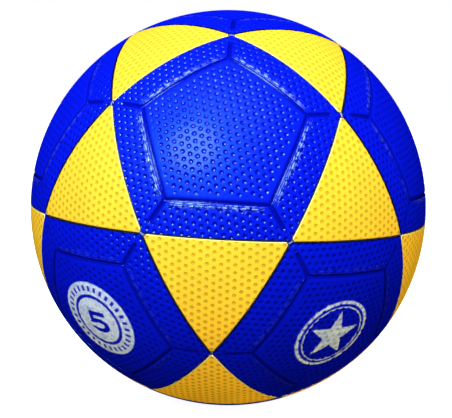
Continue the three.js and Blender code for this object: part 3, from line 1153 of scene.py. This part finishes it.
# %% Make the cover finishes
# Second colour: painted shade for pits; third: edge, also painted groove and seam shade.
BLUE_COAT = ("#030fd4", "#02088c", "#02052e", "#8f99e6", 0.85)
YELLOW_COAT = ("#f9c535", "#b09824", "#fbe58c", "#fff6cc", 0.32)
# The front panel faces the key light and gets the most painted highlight dashes.
FRONT_HIGHLIGHT = 0.62
PRINTED_PANEL_HIGHLIGHT = 0.03

blue_rubber = cover_rubber("blue_coated_natural_rubber", *BLUE_COAT)
# The front panel's finish differs only by more painted highlights on its band.
highlit_front_rubber = cover_rubber("blue_rubber_with_painted_highlights", *BLUE_COAT, FRONT_HIGHLIGHT)
badge_rubber = cover_rubber("blue_rubber_with_size_print", *BLUE_COAT, PRINTED_PANEL_HIGHLIGHT, size_badge)
star_rubber = cover_rubber("blue_rubber_with_star_print", *BLUE_COAT, PRINTED_PANEL_HIGHLIGHT, star_in_ring)
yellow_rubber = cover_rubber("yellow_coated_natural_rubber", *YELLOW_COAT)
cover_finishes = (blue_rubber, highlit_front_rubber, badge_rubber, star_rubber, yellow_rubber)
print("cover finishes:", [finish.name for finish in cover_finishes])

# %% [markdown]
# ## The layers inside and the valve
#
# Under the cover lie a thin carcass of black rubber, a layer of wound thread, and a butyl
# bladder with its valve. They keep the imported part's bodies. Only the valve and, through the
# seams, the carcass can be seen, but each gets the finish of the real thing: talc-dusted matt
# rubber, pale nylon thread wound in crossing directions, dark butyl with a faint mould
# mottle, and the valve's smoother moulded rubber with its pale soft core.

# %% Uncoated rubber
BLOOM_CLOUDS = {"From Min": 0.4, "From Max": 0.7, "To Max": 0.6}
ROUGHNESS_SPREAD = 0.08
GRAINS_IN_MOTTLE = 4
MOTTLE_RELIEF = 0.05
MOTTLE_STRENGTH = 0.4


def plain_rubber(name, base, bloom, roughness, mottle):
    """Uncoated rubber. Bloom is the pale or dark film on it, and mottle its size."""
    material, tree = new_material(name)
    place = add_node(tree, "TexCoord", out="Object")
    cloud = add_node(tree, "TexNoise", {"Vector": place, "Scale": 1 / mottle, "Detail": 4.0})
    fine = {"Vector": place, "Scale": GRAINS_IN_MOTTLE / mottle, "Detail": 2.0}
    grain = add_node(tree, "TexNoise", fine)
    share = add_node(tree, "MapRange", {"Value": cloud, **BLOOM_CLOUDS})
    films = {0: share, MIX_A: colour(base), MIX_B: colour(bloom)}
    mixed = add_node(tree, "Mix", films, **COLOUR_MIX)
    spread = {"To Min": roughness - ROUGHNESS_SPREAD, "To Max": roughness + ROUGHNESS_SPREAD}
    rough = add_node(tree, "MapRange", {"Value": cloud, **spread})
    relief = {"Height": grain, "Strength": MOTTLE_STRENGTH, "Distance": mottle * MOTTLE_RELIEF}
    normal = add_node(tree, "Bump", relief)
    skin = {"Base Color": mixed, "Roughness": rough, "IOR": RUBBER_IOR, "Normal": normal}
    shader = add_node(tree, "BsdfPrincipled", skin)
    add_node(tree, "OutputMaterial", {"Surface": shader})
    return material


# %% [markdown]
# ## The winding's thread
#
# The winding is one packed shell, so its thread is drawn by its finish. Three wave textures,
# each turned another way, cross each other, and the highest of the three lies on top. At scale
# 1 the wave node turns by 20 radians in a metre, so the scale follows from the pitch of the
# thread. It is drawn three times as coarse as it is, to show at all.

# %% Wound thread
THREAD_PITCH = 1.2 * MM
THREAD_TURNS = ((0, 0, 0), (60, 20, 0), (-40, 50, 90))
WAVE_RADIANS = 20
THREAD_RELIEF = 0.3 * MM
THREAD_STRENGTH = 0.8
NYLON_IOR = 1.53
NYLON_ROUGHNESS = 0.55
NYLON_SHEEN = 0.2


def wound_thread(name, base, gap):
    material, tree = new_material(name)
    place = add_node(tree, "TexCoord", out="Object")
    scale = math.tau / (WAVE_RADIANS * THREAD_PITCH)
    height = 0.0
    for turn in THREAD_TURNS:
        lay = {"Vector": place, "Rotation": [math.radians(angle) for angle in turn]}
        turned = add_node(tree, "Mapping", lay)
        bands = {"Vector": turned, "Scale": scale, "Distortion": 1.0}
        wave = add_node(tree, "TexWave", bands, out="Fac", bands_direction="Z")
        height = add_node(tree, "Math", {0: height, 1: wave}, operation="MAXIMUM")
    threads = {0: height, MIX_A: colour(gap), MIX_B: colour(base)}
    mixed = add_node(tree, "Mix", threads, **COLOUR_MIX)
    relief = {"Height": height, "Strength": THREAD_STRENGTH, "Distance": THREAD_RELIEF}
    nylon = {
        "Base Color": mixed,
        "Roughness": NYLON_ROUGHNESS,
        "IOR": NYLON_IOR,
        "Sheen Weight": NYLON_SHEEN,
        "Normal": add_node(tree, "Bump", relief),
    }
    shader = add_node(tree, "BsdfPrincipled", nylon)
    add_node(tree, "OutputMaterial", {"Surface": shader})
    return material


# %% [markdown]
# ## Giving the inner pieces their finishes
#
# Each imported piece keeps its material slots, and only what fills them changes. A rubber
# finish is given by its two colours, its roughness and the size of its mottle.

# %% Finish the carried-over pieces
black_butyl = plain_rubber("black_butyl_rubber", "#17171a", "#2c2c2f", 0.55, 9 * MM)
finishes = {
    "rubber_carcass": plain_rubber("dusted_black_rubber", "#0a0a0f", "#1c1b22", 0.75, 6 * MM),
    "thread_winding": wound_thread("wound_nylon_thread", "#e9e4d6", "#8d8674"),
    "bladder": black_butyl,
    "valve_patch": black_butyl,
    "valve_body": plain_rubber("moulded_valve_rubber", "#1b1b1f", "#303036", 0.42, 3 * MM),
    "valve_core": plain_rubber("soft_pale_core_rubber", "#cfccc2", "#b3aea2", 0.5, 2 * MM),
}
for name, finish in finishes.items():
    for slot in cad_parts[name].material_slots:
        slot.material = finish
print("finishes inside:", list(finishes))

# %% [markdown]
# ## Placing the 32 panels
#
# The panel modelled at the top of the ball is copied to each place: the copy's mesh is turned
# by a rotation whose axes are the panel's own, so the object itself stays unturned at the
# origin. A pentagon may sit five ways round, and on the real ball the rows of dimples do not
# run the same way on every panel. So the way is given for those that the camera sees, in
# degrees from the right.

# %% Find a panel's place and its way round
SIDE_TURNS = {1: -18, 2: 126, 5: 54, 6: -54, 10: 90}


def turned_to(centre, side_towards):
    """The rotation that takes +Z to the panel's centre and +X towards the middle of a side."""
    ahead = (side_towards - centre * side_towards.dot(centre)).normalized()
    return Matrix((ahead, centre.cross(ahead), centre)).transposed().to_4x4()


def nearest_name(prefix, centre):
    names = [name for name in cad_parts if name.startswith(prefix)]
    middles = {name: sum(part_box(name), Vector()) for name in names}
    return min(names, key=lambda name: centre.angle(middles[name]))


def side_of(i, centre):
    """The triangle on the side that a pentagon's rows of dimples run along."""
    sides = [t for t in triangle_centres if t.angle(centre) < TOUCHING_ANGLE]
    if i not in SIDE_TURNS:
        return sides[0]
    right, up = right_and_up(centre)
    wanted = math.radians(SIDE_TURNS[i])
    return max(sides, key=lambda t: t.dot(right * math.cos(wanted) + up * math.sin(wanted)))


# %% [markdown]
# ## Copying the panels
#
# Each copy gets a mesh of its own, one material, the name of the imported piece that it stands
# for and the slot that its finish belongs to. The valve, the badge, the star and the painted
# highlights on the front panel's stitched band make four of the twelve pentagons special.

# %% Copy the panels to their places
FRONT_PANEL = 1
SPECIAL_FINISHES = {FRONT_PANEL: highlit_front_rubber, BADGE_PANEL: badge_rubber, STAR_PANEL: star_rubber}
SPECIAL_PATTERNS = {0: valve_pentagon, BADGE_PANEL: badge_pentagon}


def place_panel(pattern, kind, centre, side_towards, material):
    node = nearest_name(kind, centre)
    panel = copy_of(pattern, node.replace("panel", "cover"))
    panel.data.transform(turned_to(centre, side_towards))
    panel.data.materials.clear()
    panel.data.materials.append(material)
    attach(panel, "root")
    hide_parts(node)


for i, centre in enumerate(pentagon_centres):
    pattern = SPECIAL_PATTERNS.get(i, pentagon)
    finish = SPECIAL_FINISHES.get(i, blue_rubber)
    side = side_of(i, centre)
    place_panel(pattern, "pentagon_panel", centre, side, finish)

for centre, corners in zip(triangle_centres, triangle_corners):
    side = corners[0]
    place_panel(triangle, "triangle_panel", centre, side, yellow_rubber)

for pattern in (deep_dimple, soft_dimple, triangle, pentagon, valve_pentagon, badge_pentagon):
    bpy.data.objects.remove(pattern)
print(len(pentagon_centres) + len(triangle_centres), "panels placed")

# %% [markdown]
# ## Floor and lamps
#
# Product pictures of this kind are taken on white. The floor is a wide pale sheet that meets a
# white surround, lit so brightly that it reads as paper. It sends no light to the ball, because
# the fill further down does that for it. A large soft key light stands high in front, a little
# to the left, and gives the sheen on the front panel. A wider light above brightens all that
# faces up, and stays out of the reflections.

# %% Set the stage
FLOOR_SIZE = 12.0
PAPER = "#f4f4f4"
WHITE = "#ffffff"
PAPER_GLOW = 0.9
KEY_ROUND = math.radians(-20.8)
KEY_HEIGHT = math.radians(36.6)
KEY_SIZE = 0.55
KEY_POWER = 14.2
DAYLIGHT = "#e0f6ff"
TOP_HEIGHT = math.radians(60)
TOP_SIZE = 0.9
TOP_POWER = 16.2
LAMP_DISTANCE = 1.3

deselect_all()
bpy.ops.mesh.primitive_plane_add(size=FLOOR_SIZE, location=(0, 0, -BALL_RADIUS))
floor = bpy.context.object
floor.name = "floor"
floor.visible_diffuse = False
floor.visible_glossy = False
paper, tree = new_material("pale_paper")
matt = add_node(tree, "BsdfDiffuse", {"Color": colour(PAPER)})
glow = add_node(tree, "Emission", {"Color": colour(WHITE), "Strength": PAPER_GLOW})
both = add_node(tree, "AddShader", {0: matt, 1: glow})
add_node(tree, "OutputMaterial", {"Surface": both})
floor.data.materials.append(paper)


def soft_light(name, around, height, size, power):
    direction = sky_direction(around, height)
    bpy.ops.object.light_add(type="AREA", location=direction * LAMP_DISTANCE)
    light = bpy.context.object
    light.name = name
    light.rotation_euler = direction.to_track_quat("Z", "Y").to_euler()
    light.data.shape = "DISK"
    light.data.size = size
    light.data.energy = power
    return light


key_light = soft_light("key_light", KEY_ROUND, KEY_HEIGHT, KEY_SIZE, KEY_POWER)
key_light.data.color = colour(DAYLIGHT)[:3]
top_light = soft_light("top_light", 0, TOP_HEIGHT, TOP_SIZE, TOP_POWER)
top_light.visible_glossy = False
print("floor and lamps:", floor.name, key_light.name, top_light.name)

# %% [markdown]
# ## The fill
#
# White walls and the table send soft light back from all round. A world colour could do that,
# but the coat would mirror it too and the deep blue would turn grey. So two sun lamps, opened
# so wide that each lights half the sky, stand in for the room: a neutral one above and a
# warmer one below. Reflections don't see them, and the world is white for the camera alone.
# Two settings go with that. With multiple importance sampling off, only rays sent straight to
# a lamp count, so none of its light comes back as a reflection. And the floor casts no shadow,
# or the light from below would never reach the ball.

# %% Make the fill and the surround
FILL_ABOVE = "#d3cdc5"
FILL_BELOW = "#e4cb7f"
BELOW_ROUND = math.radians(55)
BELOW_HEIGHT = math.radians(-62)
HALF_SKY = math.pi
WHITE_SKY_POWER = math.pi


def half_sky(name, direction, hex_value):
    """Even light from all of one half of the sky, as strong as that colour all over it."""
    bpy.ops.object.light_add(type="SUN")
    light = bpy.context.object
    light.name = name
    light.rotation_euler = direction.to_track_quat("Z", "Y").to_euler()
    light.data.angle = HALF_SKY
    light.data.energy = WHITE_SKY_POWER
    light.data.color = colour(hex_value)[:3]
    light.data.cycles.use_multiple_importance_sampling = False
    light.visible_glossy = False


half_sky("fill_above", pole, FILL_ABOVE)
half_sky("fill_below", sky_direction(BELOW_ROUND, BELOW_HEIGHT), FILL_BELOW)
floor.visible_shadow = False

world = bpy.data.worlds.new("white_surround")
world.use_nodes = True
tree = world.node_tree
tree.nodes.clear()
camera_ray = add_node(tree, "LightPath", out="Is Camera Ray")
white = add_node(tree, "Background", {"Color": colour(WHITE), "Strength": camera_ray})
add_node(tree, "OutputWorld", {"Surface": white})
bpy.context.scene.world = world
bpy.context.scene.view_settings.view_transform = "Standard"
print("fill and surround set")
